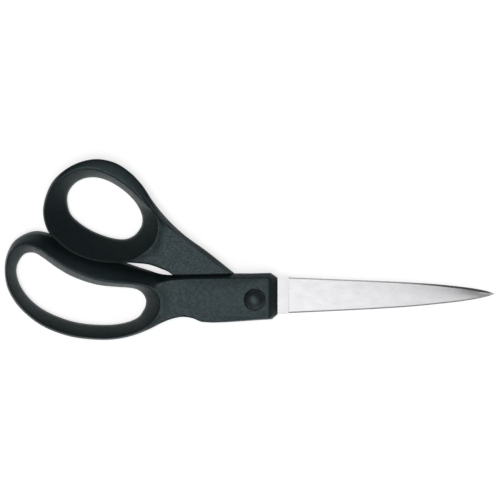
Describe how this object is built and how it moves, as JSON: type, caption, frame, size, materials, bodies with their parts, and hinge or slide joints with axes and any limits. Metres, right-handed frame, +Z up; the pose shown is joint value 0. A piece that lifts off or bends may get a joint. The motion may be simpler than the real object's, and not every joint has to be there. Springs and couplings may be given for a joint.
{
  "type": "fabric shears",
  "caption": "Right-handed bent shears with moulded finger and thumb loops, tapering steel blades and a domed pivot cap; the thumb half turns open on the pivot.",
  "frame": {"origin": "on the pivot's axis, at the outer face of the rear hub's cap, on which the shears rest", "axes": "+X along the closed blades towards the tips, +Y from the finger loop towards the thumb loop in the plane of the cut, +Z up from the resting face to the front hub and its domed cap"},
  "size_m": [0.2409, 0.0887, 0.0155],
  "materials": {
    "handle_plastic": "black moulded plastic with a fine matte grain",
    "cap_plastic": "black plastic, slightly smoother than the handles",
    "blade_steel": "ground and finely brushed stainless steel",
    "screw_steel": "turned steel",
    "spring_steel": "rolled spring steel",
    "nylon": "natural nylon sheet"
  },
  "bodies": {
    "finger_half": {"finger_handle": "handle_plastic", "front_blade": "blade_steel", "pivot_screw": "screw_steel", "pivot_nut": "screw_steel", "spring_washer": "spring_steel", "blade_washer": "nylon", "pivot_cap": "cap_plastic"},
    "thumb_half": {"thumb_handle": "handle_plastic", "rear_blade": "blade_steel", "rear_cap": "cap_plastic"}
  },
  "joints": [
    {"name": "blade_pivot", "type": "hinge", "parent": "finger_half", "child": "thumb_half", "pos_m": [0, 0, 0.0063], "axis": [0, 0, -1], "range_deg": [0, 70]}
  ]
}
